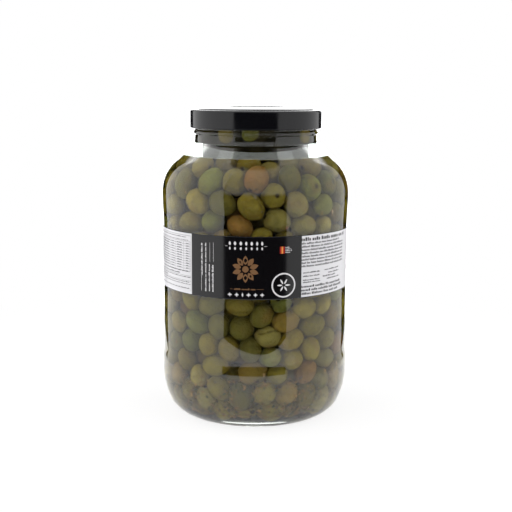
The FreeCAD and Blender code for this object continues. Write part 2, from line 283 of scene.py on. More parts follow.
def closed_solid(name, profile, turns, wave=0.0):
    """Profile of radius and height carried once round the axis: x = r sin a, y = -r cos a, z = height.

    The profile starts and ends on the axis, where each end becomes one vertex. wave is the
    height of slow ripples that are added to the radius on the upright walls.
    """
    a = np.linspace(0, 2 * math.pi, turns, endpoint=False)
    rings = profile[1:-1]
    r, z = np.meshgrid(rings[:, 0], a, indexing="ij")[0], np.repeat(rings[:, 1:], turns, 1)
    rise = np.clip((z - WAVE_Z[0]) / (WAVE_Z[1] - WAVE_Z[0]), 0, 1)
    fall = np.clip((WAVE_Z[3] - z) / (WAVE_Z[3] - WAVE_Z[2]), 0, 1)
    wavy = rise * fall * np.clip((r - WAVE_R[0]) / (WAVE_R[1] - WAVE_R[0]), 0, 1)
    ripple = np.sin(3 * a + z / 23 + 1) + 0.7 * np.sin(7 * a - z / 31) + 0.6 * np.sin(11 * a + z / 13 + 2)
    r = r + wave * wavy * (ripple + 0.5 * np.sin(5 * a + z / 9))
    ring_points = np.stack([r * np.sin(a), -r * np.cos(a), z], 2).reshape(-1, 3)
    ends = [(0, 0, profile[0][1]), (0, 0, profile[-1][1])]
    points = np.concatenate([ring_points, ends]) * MM
    i = np.arange(len(rings) - 1)[:, None] * turns
    j, k = np.arange(turns), (np.arange(turns) + 1) % turns
    quads = np.stack([i + j, i + k, i + k + turns, i + j + turns], 2).reshape(-1, 4).tolist()
    last = (len(rings) - 1) * turns
    foot, tip = len(ring_points), len(ring_points) + 1
    caps = [(foot, b, a) for a, b in zip(j.tolist(), k.tolist())]
    caps += [(tip, last + a, last + b) for a, b in zip(j.tolist(), k.tolist())]
    return piece(name, points, quads + caps)


def piece(name, points, faces, smooth=True):
    """A new mesh object at the origin from its points, in metres, and its faces."""
    mesh = bpy.data.meshes.new(name)
    mesh.from_pydata(points.tolist(), [], faces)
    mesh.polygons.foreach_set("use_smooth", [smooth] * len(mesh.polygons))
    mesh.update()
    made = bpy.data.objects.new(name, mesh)
    bpy.context.scene.collection.objects.link(made)
    return made


def colour(red, green, blue):
    """A colour given as on a screen, 0 to 255, in the renderer's own scale."""
    c = np.array([red, green, blue]) / 255.0
    return (*np.where(c <= 0.04045, c / 12.92, ((c + 0.055) / 1.055) ** 2.4), 1.0)


def finish(name):
    """A new material with its recipe and its output node."""
    made = bpy.data.materials.new(name)
    made.use_nodes = True
    recipe = Recipe(made.node_tree)
    return made, recipe, recipe.node("ShaderNodeOutputMaterial")


def clear_finish(name, ior, tint, volume=None, level=None):
    """Glass or liquid that bends what is seen through it and lets the light of the lamps pass.

    Below level, where there is one, the surface does not bend rays: there it lies inside glass.
    """
    made, recipe, output = finish(name)
    rays = recipe.node("ShaderNodeLightPath").outputs
    body = recipe.node("ShaderNodeBsdfPrincipled", {
        "Base Color": tint, "Roughness": 0.0, "IOR": ior, "Transmission Weight": 1.0,
    })
    passing = recipe.node("ShaderNodeBsdfTransparent")
    share = recipe.math("MAXIMUM", rays["Is Shadow Ray"], rays["Is Diffuse Ray"])
    if level:
        place = recipe.node("ShaderNodeTexCoord").outputs["Object"]
        up = recipe.node("ShaderNodeSeparateXYZ", {0: place}).outputs["Z"]
        share = recipe.math("MAXIMUM", share, recipe.math("LESS_THAN", up, level * MM))
    both = recipe.node("ShaderNodeMixShader", {0: share, 1: body.outputs[0], 2: passing.outputs[0]})
    recipe.feed(output.inputs["Surface"], both.outputs[0])
    if volume:
        soak = recipe.node("ShaderNodeVolumeAbsorption", {"Color": volume[0], "Density": volume[1]})
        recipe.feed(output.inputs["Volume"], soak.outputs[0])
    return made


outside = sunk_panel(wall(0, 0))
underside = np.array([
    [0, PUSH_UP], [10, 5.95], [20, 5.6], [30, 4.9], [40, 3.6], [47, 1.9], [FOOT_R - FOOT_WIDTH, 0],
])
bead_z = NECK_Z + BEAD_UP
bead = bow((NECK_R - BEAD_IN, bead_z), BEAD_OUT + BEAD_IN, -BEAD_TURN, BEAD_TURN, 15)
rim_r = GLASS_T / 2
rim = bow((NECK_R - rim_r, RIM_Z - rim_r), rim_r, 0, 180, 17)
inside = wall(GLASS_T, HEEL_EXTRA)
dry, inside = cut_at(inside, BRINE_Z, above=True), cut_at(inside, BRINE_Z)
floor_r = np.linspace(FOOT_R, 0, 13)[1:]
floor_z = GLASS_T + HEEL_EXTRA + (PUSH_UP + BASE_T - GLASS_T - HEEL_EXTRA) * (1 - (floor_r / FOOT_R) ** 2)
glass_profile = np.concatenate([
    underside, outside, run(outside[-1], bead[0], NECK_ROWS), bead,
    run(bead[-1], rim[0], FINISH_ROWS), rim, run(rim[-1], dry[-1], BORE_ROWS), dry[:0:-1],
    inside[::-1], np.stack([floor_r, floor_z], 1),
])
jar = closed_solid("jar_glass", glass_profile, JAR_TURNS, WAVE_H)
jar.data.materials.append(clear_finish("clear_glass", GLASS_IOR, colour(243, 250, 246)))
wet_glass = clear_finish("clear_glass_wetted", GLASS_IOR / BRINE_IOR, colour(250, 254, 251))
jar.data.materials.append(wet_glass)
inner_from = len(underside) + len(outside) + NECK_ROWS + len(bead) + FINISH_ROWS + len(rim)
wet_from = inner_from + BORE_ROWS + len(dry) - 2
wetted = np.zeros(len(jar.data.polygons), int)
wetted[wet_from * JAR_TURNS:] = 1
wetted[-2 * JAR_TURNS:-JAR_TURNS] = 0
for row in range(inner_from, wet_from):
    if NECK_Z - WET_BELOW_NECK < glass_profile[row + 1, 1] < HEAP_TOP:
        wetted[row * JAR_TURNS:(row + 1) * JAR_TURNS] = 1
jar.data.polygons.foreach_set("material_index", wetted)
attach(jar, "root")
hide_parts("jar")

# ---- brine ----
# The pickling brine fills the jar up to the top of its shoulder, and the topmost olives stand out
# of it. It is a clear liquid with a yellow-green tint, and meets the glass without a gap.
INTO_GLASS = 0.2
BRINE_DENSITY = 30.0
brine_wall = cut_at(wall(GLASS_T - INTO_GLASS, HEEL_EXTRA), BRINE_Z)
brine_floor_r = np.linspace(0, FOOT_R, 13)[:-1]
brine_floor_z = floor_z[::-1] - INTO_GLASS
brine_profile = np.concatenate([
    np.stack([brine_floor_r, brine_floor_z], 1), brine_wall,
    [(BORE_R, BRINE_Z), (25, BRINE_Z), (0, BRINE_Z)],
])
brine = closed_solid("brine_liquid", brine_profile, 192)
brine_tint = (colour(222, 204, 112), BRINE_DENSITY)
brine_look = clear_finish("brine", BRINE_IOR, (1, 1, 1, 1), brine_tint, BRINE_Z - 0.1)
brine.data.materials.append(brine_look)
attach(brine, "root")
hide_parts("brine")

# ---- olives ----
# Whole green table olives, each with a stem scar at one end and a small nipple at the other, and
# some of them split. They are poured in loose, lie every way and press against the glass, and the
# topmost ones fill the neck. The olives of the second layer are drawn half as bright, as painted shade.
# The middle of the heap, which isn't seen, is one core painted dark as shade.
OLIVE_COUNT = 700
OLIVE_HALF = (8.5, 9.9)
OLIVE_STRETCH, STRETCHES, STRETCH_SPREAD = 1.22, (1.06, 1.34), 0.06
SEEDS, SEED_R, SEED_Z, POUR_STEPS = 9000, 68, (18, 245), 420
NECK_RINGS, IN_RING, LEFT_OUT = 2, 13, 0.3
RING_HALF, RING_STRETCH, RING_LEAN = (8.9, 9.9), (1.06, 1.16), 0.7
RING_UP, RING_STEP_UP, RING_STEP_IN = 4.4, 8.0, 5.0
OUTER_DEPTH, SECOND_DEPTH, OUTER_SPLIT_Z, SPLIT_SHARE = 16.5, 36, 100, 0.22
CORE_R, CORE_FOOT_R, CORE_FOOT_Z, CORE_LOW_Z = 44.5, 30, 30, 44
CORE_TOP_R = BORE_R - 2.6
rng = np.random.default_rng(11)
hollow = np.concatenate([
    np.stack([brine_floor_r, floor_z[::-1]], 1), inside, [(0, BRINE_Z + 1.0)],
])
along_wall = hollow[1:] - hollow[:-1]
along_length = np.hypot(along_wall[:, 0], along_wall[:, 1])
keep_runs = along_length > 1e-6
wall_from, wall_way, wall_length = hollow[:-1][keep_runs], along_wall[keep_runs], along_length[keep_runs]
wall_way = wall_way / wall_length[:, None]


def from_wall(points):
    """How far each point is inside the hollow of the jar, and the way in from the nearest wall."""
    r = np.hypot(points[:, 0], points[:, 1])
    flat = np.stack([r, points[:, 2]], 1)
    gap = flat[:, None] - wall_from
    t = np.clip((gap * wall_way).sum(2), 0, wall_length)
    to_wall = gap - t[..., None] * wall_way
    nearest = (to_wall ** 2).sum(2).argmin(1)
    pick = np.arange(len(points))
    offset = to_wall[pick, nearest]
    inward = np.stack([-wall_way[nearest, 1], wall_way[nearest, 0]], 1)
    depth = np.sign((offset * inward).sum(1)) * np.hypot(offset[:, 0], offset[:, 1])
    out = points[:, :2] / np.maximum(r, 1e-6)[:, None]
    return depth, np.concatenate([out * inward[:, :1], inward[:, 1:]], 1)


def unit(v):
    """Each row of v, at length 1."""
    return v / np.linalg.norm(v, axis=-1, keepdims=True)


def pour(count, half, reach):
    """Middles and directions of olives that lie packed in the jar.

    Each olive is two balls of radius half, reach apart on each side of its middle. They start
    anywhere in the jar as small seeds, grow, sink a little and push each other and the wall away.
    """
    spread = ((-SEED_R, SEED_R), (-SEED_R, SEED_R), SEED_Z)
    at = np.stack([rng.uniform(*ends, SEEDS) for ends in spread], 1)
    at = at[from_wall(at)[0] > 9][:count]
    way = unit(rng.normal(size=(count, 3)))
    for step in range(POUR_STEPS):
        size = min(1.0, 0.5 + 0.6 * step / POUR_STEPS)
        ends = np.concatenate([at + way * reach[:, None] * size, at - way * reach[:, None] * size])
        radius = np.concatenate([half, half]) * size
        if step % 6 == 0:
            square = (ends ** 2).sum(1)
            far = square[:, None] + square - 2 * ends @ ends.T
            first, second = np.nonzero(np.triu(far < (radius.max() * 2 + 5) ** 2, 1))
            other = first % count != second % count
            first, second = first[other], second[other]
        apart = ends[first] - ends[second]
        distance = np.maximum(np.linalg.norm(apart, axis=1), 1e-6)
        press = np.clip(radius[first] + radius[second] - distance, 0, None) * 0.5
        push = apart / distance[:, None] * press[:, None]
        move = np.stack([
            np.bincount(first, push[:, k], 2 * count) - np.bincount(second, push[:, k], 2 * count)
            for k in range(3)
        ], 1)
        touching = np.bincount(first, press > 0, 2 * count) + np.bincount(second, press > 0, 2 * count)
        ends = ends + 1.3 * move / np.maximum(touching, 1)[:, None] ** 0.5
        ends[:, 2] -= 0.03 * (1 - step / POUR_STEPS)
        depth, inward = from_wall(ends)
        ends = ends + inward * np.clip(radius + 0.5 - depth, 0, None)[:, None]
        at = (ends[:count] + ends[count:]) / 2
        way = unit(ends[:count] - ends[count:])
    return at, way


olive_half = rng.uniform(*OLIVE_HALF, OLIVE_COUNT)
olive_stretch = np.clip(rng.normal(OLIVE_STRETCH, STRETCH_SPREAD, OLIVE_COUNT), *STRETCHES)
olive_at, olive_way = pour(OLIVE_COUNT, olive_half, olive_half * (olive_stretch - 1))
low = olive_at[:, 2] < BRINE_Z
olive_at, olive_way = olive_at[low], olive_way[low]
olive_half, olive_stretch = olive_half[low], olive_stretch[low]
seat = np.arange(IN_RING * NECK_RINGS)
ring_a = (seat % IN_RING + 0.5 * (seat // IN_RING)) * 2 * math.pi / IN_RING
ring_a = (ring_a + rng.uniform(-0.11, 0.11, len(ring_a)))[rng.random(len(ring_a)) > LEFT_OUT]
ring_half = rng.uniform(*RING_HALF, len(ring_a))
upper = np.arange(len(ring_a)) * NECK_RINGS // len(ring_a)
ring_r = BORE_R - 0.3 - ring_half - RING_STEP_IN * upper
ring_z = NECK_Z + RING_UP + RING_STEP_UP * upper + rng.uniform(-2.4, 2.0, len(ring_a))
ring_at = np.stack([ring_r * np.sin(ring_a), -ring_r * np.cos(ring_a), ring_z], 1)
around = np.stack([np.cos(ring_a), np.sin(ring_a), np.zeros(len(ring_a))], 1)
lean = rng.uniform(-RING_LEAN, RING_LEAN, (len(ring_a), 1))
ring_way = unit(around * np.sin(lean) + np.array([0, 0, 1]) * np.cos(lean))
olive_at = np.concatenate([olive_at, ring_at])
olive_way = np.concatenate([olive_way, ring_way])
olive_half = np.concatenate([olive_half, ring_half])
olive_stretch = np.concatenate([olive_stretch, rng.uniform(*RING_STRETCH, len(ring_a))])
olive_depth = from_wall(olive_at)[0]
olive_depth[-len(ring_a):] = 10.0


def olive_shapes(members, around, rows, split):
    """Points of several olives as one array, and for each point its place on its own olive.

    A ball direction (sin v cos u, sin v sin u, cos v) is stretched along its own axis, made a
    little egg-shaped, lumpy by slow sine waves along three slanting directions, drawn out into
    a nipple at one end, pressed in at the stem end, and cut by a bent slit where split is 1.
    """
    v = np.linspace(0, math.pi, rows + 1)
    u = np.linspace(0, 2 * math.pi, around, endpoint=False)
    ball = np.stack([
        np.outer(np.sin(v[1:-1]), np.cos(u)), np.outer(np.sin(v[1:-1]), np.sin(u)),
        np.repeat(np.cos(v[1:-1])[:, None], around, 1),
    ], 2).reshape(-1, 3)
    ball = np.concatenate([[(0, 0, 1)], ball, [(0, 0, -1)]])
    n = len(members)
    half, stretch = olive_half[members][:, None], olive_stretch[members][:, None]
    egg = rng.uniform(-0.07, 0.07, (n, 1))
    flat = rng.uniform(-0.03, 0.03, (n, 1))
    slant = unit(rng.normal(size=(n, 3, 3)))
    lump = np.zeros((n, len(ball)))
    for k, (rate, size) in enumerate(((2.4, 0.012), (4.1, 0.008), (7.0, 0.005))):
        lump += size * np.sin(rate * slant[:, k] @ ball.T + rng.uniform(0, 6.28, (n, 1)))
    from_tip = np.arccos(np.clip(ball[:, 2], -1, 1))
    from_stem = math.pi - from_tip
    turn = np.arctan2(ball[:, 1], ball[:, 0])
    bend = rng.uniform(-0.5, 0.5, (n, 1))
    aside = (turn - bend * np.sin(from_tip * 2) + math.pi) % (2 * math.pi) - math.pi
    slit = np.exp(-((aside * np.sin(from_tip)) / 0.07) ** 2) * (from_tip > 0.5) * (from_tip < 2.3) * split
    swell = 1 + lump - 0.085 * slit
    point = ball * swell[..., None] * half[..., None]
    point[..., 0] *= (1 + flat) * (1 + egg * ball[:, 2])
    point[..., 1] *= (1 - flat) * (1 + egg * ball[:, 2])
    nipple = rng.uniform(0.2, 1.1, (n, 1)) * np.exp(-((from_tip / 0.25) ** 2))
    scar = rng.uniform(0.5, 1.6, (n, 1)) * np.exp(-((from_stem / 0.24) ** 2))
    point[..., 2] = point[..., 2] * stretch + nipple + scar
    axis = olive_way[members]
    cross = unit(np.cross(axis, unit(rng.normal(size=(n, 3)))))
    base = np.stack([cross, np.cross(axis, cross), axis], 1)
    return np.einsum("nvk,nkx->nvx", point, base) + olive_at[members][:, None], ball, slit


def olive_faces(count, around, rows):
    """Faces of count olives that follow each other in one mesh: two fans and rows of quads each."""
    j, k = np.arange(around), (np.arange(around) + 1) % around
    tip = [(0, 1 + a, 1 + b) for a, b in zip(j.tolist(), k.tolist())]
    i = np.arange(rows - 2)[:, None] * around + 1
    quads = np.stack([i + j, i + around + j, i + around + k, i + k], 2).reshape(-1, 4).tolist()
    last, foot = 1 + (rows - 2) * around, 1 + (rows - 1) * around
    stem = [(foot, last + b, last + a) for a, b in zip(j.tolist(), k.tolist())]
    one = tip + quads + stem
    return [[c + shift for c in face] for shift in range(0, count * (foot + 1), foot + 1) for face in one]


SKINS = np.array([
    colour(112, 100, 36), colour(122, 108, 44), colour(106, 90, 26), colour(96, 98, 40),
    colour(120, 98, 42), colour(124, 88, 42), colour(88, 82, 32), colour(124, 114, 62),
])[:, :3]
SKIN_SHARES = (0.21, 0.19, 0.15, 0.13, 0.11, 0.03, 0.12, 0.06)


def per_point(made, name, kind, field, values):
    """Gives each point of a mesh its own value under a name, for a material to read."""
    held = made.data.attributes.new(name, kind, "POINT")
    held.data.foreach_set(field, values.astype(np.float32).ravel())


def olive_piece(name, members, around, rows, split):
    """One mesh of olives: each point's skin colour, darker as painted shade in the second layer, and
    place on its olive.
    """
    points, ball, slit = olive_shapes(members, around, rows, split)
    made = piece(name, points.reshape(-1, 3) * MM, olive_faces(len(members), around, rows))
    skin = SKINS[rng.choice(len(SKINS), len(members), p=SKIN_SHARES)]
    skin = skin * rng.uniform(0.56, 1.0, (len(members), 1))
    cheek = unit(rng.normal(size=(len(members), 3))) @ ball.T
    warm = np.clip(cheek, 0, 1)[..., None] ** 2 * rng.uniform(0, 0.28, (len(members), 1, 1))
    shade = skin[:, None] * (1 - warm * np.array([-0.1, 0.25, 0.45]))
    # Darker in the slit. The coarse olives of the second layer are drawn half as bright, as painted
    # shade.
    shade = shade * (1 - 0.6 * slit[..., None]) * (1.0 if around > 16 else 0.5)
    rgba = np.concatenate([shade, np.ones((*shade.shape[:2], 1))], 2)
    per_point(made, "skin", "FLOAT_COLOR", "color", rgba)
    own = np.broadcast_to(ball, (len(members), *ball.shape))
    per_point(made, "own", "FLOAT_VECTOR", "vector", own)
    made.data.materials.append(olive_skin)
    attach(made, "root")
    return made


olive_skin, skin, output = finish("olive_skin")
own = skin.node("ShaderNodeAttribute", attribute_name="own").outputs["Vector"]
tone = skin.node("ShaderNodeAttribute", attribute_name="skin").outputs["Color"]
spot = skin.node("ShaderNodeTexCoord").outputs["Object"]


def grain(recipe, where, scale, detail=2.0, rough=0.5):
    """Smooth noise from 0 to 1 at a number of waves to the metre."""
    inputs = {"Vector": where, "Scale": scale, "Detail": detail, "Roughness": rough}
    return recipe.node("ShaderNodeTexNoise", inputs).outputs["Fac"]


mottle = skin.ramp(grain(skin, spot, 130, 3, 0.6), 0.35, 0.68)
fine = skin.ramp(grain(skin, spot, 900, 2, 0.6), 0.42, 0.72)
browned = skin.ramp(grain(skin, spot, 62, 2), 0.56, 0.72)
tone = skin.blend(skin.math("MULTIPLY", mottle, 0.38), tone, colour(58, 54, 20))
tone = skin.blend(skin.math("MULTIPLY", browned, 0.42), tone, colour(92, 66, 30))
tone = skin.blend(skin.math("MULTIPLY", fine, 0.15), tone, colour(134, 126, 78))
scuffed = skin.ramp(grain(skin, spot, 330, 3, 0.7), 0.58, 0.68)
tone = skin.blend(skin.math("MULTIPLY", scuffed, 0.5), tone, colour(58, 44, 16))
to_stem = skin.node("ShaderNodeVectorMath", {0: own, 1: (0, 0, -1)}, operation="DISTANCE")
to_tip = skin.node("ShaderNodeVectorMath", {0: own, 1: (0, 0, 1)}, operation="DISTANCE")
stem_dark = skin.ramp(to_stem.outputs["Value"], 0.14, 0.27, 0.9, 0.0)
tip_dark = skin.ramp(to_tip.outputs["Value"], 0.05, 0.14, 0.6, 0.0)
tone = skin.blend(stem_dark, tone, colour(30, 21, 8))
tone = skin.blend(tip_dark, tone, colour(40, 28, 12))
# Thin dark lines along each olive are painted shade of wrinkles; the skin is not folded there.
drawn_out = skin.node("ShaderNodeVectorMath", {0: own, 1: (9.0, 9.0, 2.2)}, operation="MULTIPLY")
creased = grain(skin, drawn_out.outputs["Vector"], 0.55, 3, 0.6)
off_middle = skin.math("ABSOLUTE", skin.math("SUBTRACT", creased, 0.5))
crease_shade = skin.ramp(off_middle, 0.0, 0.035, 1.0, 0.0)
crease_shade = skin.math("MULTIPLY", crease_shade, skin.ramp(grain(skin, spot, 48, 1), 0.5, 0.62))
tone = skin.blend(skin.math("MULTIPLY", crease_shade, 0.55), tone, colour(50, 40, 14))
small_dents = skin.math("MULTIPLY", grain(skin, spot, 420, 2), 0.35)
dents = skin.math("ADD", grain(skin, spot, 170, 2), small_dents)
bumps = skin.node("ShaderNodeBump", {"Height": dents, "Strength": 0.8, "Distance": 0.0022})
flesh = skin.node("ShaderNodeBsdfPrincipled", {
    "Base Color": tone, "Normal": bumps.outputs[0], "Roughness": 0.42, "IOR": 1.45,
    "Specular IOR Level": 0.0,
})
skin.feed(output.inputs["Surface"], flesh.outputs[0])

near = np.nonzero(olive_depth < OUTER_DEPTH)[0]
second = np.nonzero((olive_depth >= OUTER_DEPTH) & (olive_depth < SECOND_DEPTH))[0]
is_split = rng.random(len(near)) < SPLIT_SHARE
is_low = olive_at[near, 2] < OUTER_SPLIT_Z
outer_low = olive_piece("olives_outer_low", near[~is_split & is_low], 28, 16, 0.0)
olive_piece("olives_outer_high", near[~is_split & ~is_low], 28, 16, 0.0)
olive_piece("olives_split", near[is_split], 52, 24, 1.0)
olive_piece("olives_second_layer", second, 16, 10, 0.0)
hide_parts("olives")

core_profile = np.concatenate([
    [(0, CORE_FOOT_Z), (CORE_FOOT_R, CORE_FOOT_Z), (CORE_R, CORE_LOW_Z)],
    run((CORE_R, CORE_LOW_Z), (CORE_R, BRINE_Z - 4), 30),
    [(CORE_R + 0.8, BRINE_Z), (CORE_R + 0.8, BRINE_Z + 9), (CORE_TOP_R, BRINE_Z + 13)],
    run((CORE_TOP_R, BRINE_Z + 13), (CORE_TOP_R, HEAP_TOP - 6), 8),
    [(CORE_R - 4, HEAP_TOP - 2), (0, HEAP_TOP - 2)],
])
core = closed_solid("olives_core", core_profile, 96, 0.25)
# The core's colour is painted shade: two dark tones in random patches.
core_dark, dark, output = finish("olives_in_shade")
spot = dark.node("ShaderNodeTexCoord").outputs["Object"]
patches = dark.ramp(grain(dark, spot, 70, 2), 0.35, 0.65)
in_shade = dark.blend(patches, colour(16, 14, 7), colour(34, 29, 15))
shade = dark.node("ShaderNodeBsdfPrincipled", {
    "Base Color": in_shade, "Roughness": 0.6, "Specular IOR Level": 0.0,
})
dark.feed(output.inputs["Surface"], shade.outputs[0])
core.data.materials.append(core_dark)
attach(core, "root")

# ---- herb flakes and garlic bits ----
# Crumbled dried herb that has sunk to the bottom of the brine, a few flakes higher up, and some
# bits of garlic and sweet pepper. Each is a thin six-pointed crumb, bent a little, that lies
# loose in the brine along the glass, clear of the olives.
FLAKES, STRAYS, BITS = 1700, 70, 26
SUNK_Z, STRAY_Z, BIT_Z = (12.5, 46.0), (40.0, 205.0), (20.0, 200.0)
HERB = ((92, 66, 28), (52, 40, 16), (118, 88, 44), (48, 50, 22))
GARLIC_AND_PEPPER = ((158, 132, 98), (150, 122, 88), (132, 84, 44))


def clear_of_olives(points, spare):
    """Which points lie further than spare outside the ball round each olive's middle."""
    keep = np.ones(len(points), bool)
    for k in range(0, len(points), 2000):
        distance = np.linalg.norm(points[k:k + 2000, None] - olive_at[None], axis=2)
        keep[k:k + 2000] = (distance - olive_half[None] * 1.02).min(1) > spare
    return keep


def crumbs(name, middles, sizes, thickness, shades, looks):
    """Six-pointed crumbs: long, wide and thin by sizes, each turned its own way against the glass."""
    depth, inward = from_wall(middles)
    out = np.stack([-inward[:, 0], -inward[:, 1], -inward[:, 2]], 1)
    along = unit(np.cross(out, unit(rng.normal(size=(len(middles), 3)))))
    across = np.cross(out, along)
    widths = sizes * rng.uniform(0.35, 0.7, len(sizes))
    half = np.stack([sizes, widths, np.full(len(sizes), thickness)], 1) / 2
    bend = rng.uniform(-0.25, 0.25, (len(sizes), 1))
    a, b, c = (way * half[:, k:k + 1] for k, way in enumerate((along, across, out)))
    shifts = (a + c * bend, b + a * 0.3, -a, -b - a * 0.2, c, -c)
    six = np.stack([middles + shift for shift in shifts], 1)
    one = [(0, 1, 4), (1, 2, 4), (2, 3, 4), (3, 0, 4), (1, 0, 5), (2, 1, 5), (3, 2, 5), (0, 3, 5)]
    faces = [[p + 6 * k for p in face] for k in range(len(middles)) for face in one]
    made = piece(name, six.reshape(-1, 3) * MM, faces, False)
    tones = np.array([colour(*shade) for shade in shades])[rng.integers(0, len(shades), len(middles))]
    tones[:, :3] *= rng.uniform(0.7, 1.25, (len(middles), 1))
    per_point(made, "tint", "FLOAT_COLOR", "color", np.repeat(tones, 6, 0))
    look, recipe, output = finish(looks)
    tone = recipe.node("ShaderNodeAttribute", attribute_name="tint").outputs["Color"]
    dull = recipe.node("ShaderNodeBsdfPrincipled", {
        "Base Color": tone, "Roughness": 0.7, "Specular IOR Level": 0.0,
    })
    recipe.feed(output.inputs["Surface"], dull.outputs[0])
    made.data.materials.append(look)
    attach(made, "root")


def beside_glass(count, low, high, lean, deepest):
    """Points just inside the glass between two heights, thicker towards the low end."""
    z = low + (high - low) * rng.random(count) ** lean
    a = rng.uniform(0, 2 * math.pi, count)
    r = np.interp(z, inside[:, 1], inside[:, 0]) - rng.uniform(0.9, deepest, count)
    return np.stack([r * np.sin(a), -r * np.cos(a), z], 1)


sunk = beside_glass(12000, *SUNK_Z, 1.7, 3.4)
sunk = sunk[clear_of_olives(sunk, 0.3)]
strays = beside_glass(1500, *STRAY_Z, 1.0, 3.0)
strays = strays[clear_of_olives(strays, 0.3)][:STRAYS]
sunk = np.concatenate([sunk[:FLAKES], strays])
sunk = sunk[from_wall(sunk)[0] > 0.7]
crumbs("herb_flakes", sunk, rng.uniform(1.4, 4.2, len(sunk)), 0.6, HERB, "dried_herb")
bits = beside_glass(2500, *BIT_Z, 1.2, 3.0)
bits = bits[clear_of_olives(bits, 0.8)][:BITS]
bits = bits[from_wall(bits)[0] > 1.2]
bit_sizes = rng.uniform(3.0, 5.5, len(bits))
crumbs("garlic_bits", bits, bit_sizes, 1.6, GARLIC_AND_PEPPER, "garlic_and_pepper")

# ---- lid ----
# Twist-off lid pressed from thin tinplate, with a raised middle and a curled lower edge, and
# screwed down on the rim. Black gloss lacquer covers the whole of it, and is slightly uneven.
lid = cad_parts["lid"]
black_lacquer, lacquer, output = finish("black_lacquer")
spot = lacquer.node("ShaderNodeTexCoord").outputs["Object"]
haze = grain(lacquer, spot, 60, 2)
coat = lacquer.node("ShaderNodeBsdfPrincipled", {
    "Base Color": lacquer.blend(haze, colour(8, 8, 11), colour(13, 13, 16)),
    "Roughness": lacquer.ramp(haze, 0.3, 0.7, 0.1, 0.16),
    "IOR": 1.45, "Specular IOR Level": 0.38,
})
lacquer.feed(output.inputs["Surface"], coat.outputs[0])
lid.data.materials.clear()
lid.data.materials.append(black_lacquer)

# ---- label ----
# Semi-gloss paper wrapped round the sunk panel and glued down, open at the back of the jar:
# a black middle with a white panel on each side, and a thin black border round the whole.
LABEL_R, LABEL_T, LABEL_Z, LABEL_H = 79.65, 0.15, 112.4, 50.6
LABEL_ENDS = (-88.0, 76.3)
WHITE_LEFT, WHITE_RIGHT, EDGE = -39.7, 27.8, 0.5
label_face = LABEL_R + LABEL_T


def paper_point(across, up, lift):
    """Place on the label, across in degrees from the front and up in mm from the lower edge.

    x = r sin a, y = -r cos a, where a is across and r is the face's radius plus lift.
    """
    a, r = np.radians(across), label_face + lift
    return np.stack([r * np.sin(a), -r * np.cos(a), LABEL_Z + up], -1) * MM


columns = np.concatenate([
    np.linspace(LABEL_ENDS[0], WHITE_LEFT, 50), np.linspace(WHITE_LEFT, WHITE_RIGHT, 70)[1:],
    np.linspace(WHITE_RIGHT, LABEL_ENDS[1], 50)[1:],
])
rows = np.concatenate([[0, EDGE], np.linspace(EDGE, LABEL_H - EDGE, 12)[1:], [LABEL_H]])
grid_a, grid_z = np.meshgrid(columns, rows)
front = paper_point(grid_a, grid_z, 0.0).reshape(-1, 3)
back = paper_point(grid_a, grid_z, -LABEL_T).reshape(-1, 3)
n_c, n_r = len(columns), len(rows)
i, j = np.meshgrid(np.arange(n_r - 1), np.arange(n_c - 1), indexing="ij")
corner = (i * n_c + j).ravel()
front_faces = np.stack([corner, corner + 1, corner + n_c + 1, corner + n_c], 1)
back_faces = front_faces[:, ::-1] + len(front)
edge = np.concatenate([
    np.arange(n_c), np.arange(1, n_r) * n_c + n_c - 1,
    (n_r - 1) * n_c + np.arange(n_c - 2, -1, -1), np.arange(n_r - 2, 0, -1) * n_c,
])
after = np.roll(edge, -1)
side_faces = np.stack([edge, edge + len(front), after + len(front), after], 1)
all_faces = np.concatenate([front_faces, back_faces, side_faces])
label = piece("label_paper", np.concatenate([front, back]), all_faces.tolist(), smooth=False)
smooth = np.zeros(len(all_faces), bool)
smooth[: len(front_faces) * 2] = True
label.data.polygons.foreach_set("use_smooth", smooth)
middle_a, middle_z = (columns[j] + columns[j + 1]).ravel() / 2, (rows[i] + rows[i + 1]).ravel() / 2
beside = (middle_a < WHITE_LEFT) | (middle_a > WHITE_RIGHT)
white = beside & (middle_z > EDGE) & (middle_z < LABEL_H - EDGE)
paint = np.zeros(len(all_faces), int)
paint[: len(white)] = white
label.data.polygons.foreach_set("material_index", paint)


def ink(name, shade, rough=0.3):
    """Printed paper: an even colour with the faint unevenness of paper under a thin varnish."""
    made, recipe, output = finish(name)
    spot = recipe.node("ShaderNodeTexCoord").outputs["Object"]
    tooth = grain(recipe, spot, 1400, 2)
    cloud = grain(recipe, spot, 45, 2)
    darker = tuple(c * 0.93 for c in shade[:3]) + (1.0,)
    bumps = recipe.node("ShaderNodeBump", {"Height": tooth, "Strength": 0.05, "Distance": 0.0001})
    sheet = recipe.node("ShaderNodeBsdfPrincipled", {
        "Base Color": recipe.blend(cloud, shade, darker),
        "Roughness": recipe.ramp(tooth, 0.3, 0.7, rough - 0.03, rough + 0.03),
        "Normal": bumps.outputs[0], "IOR": 1.4,
    })
    recipe.feed(output.inputs["Surface"], sheet.outputs[0])
    return made


label.data.materials.append(ink("black_ink", colour(12, 11, 13), 0.12))
label.data.materials.append(ink("white_paper", colour(204, 203, 206), 0.3))
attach(label, "root")
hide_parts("label")

# ---- label print ----
# Inks laid on the paper: rows of small blocks in the place of small print, rows of small leaves
# in the place of the large words, ruled lines, a bronze rosette, a plain ring with six leaves in
# it and a small square of colours. Nothing can be read.
INK_LIFT = 0.015
LONGEST = 2.4


def block(left, right, low, high):
    """A rectangle of print, in mm along and up the paper, cut so that each part follows the curve."""
    parts = max(1, math.ceil((right - left) / LONGEST))
    x = np.linspace(left, right, parts + 1)
    low, high = np.full(parts, low), np.full(parts, high)
    return np.stack([
        np.stack([x[:-1], low], 1), np.stack([x[1:], low], 1),
        np.stack([x[1:], high], 1), np.stack([x[:-1], high], 1),
    ], 1)


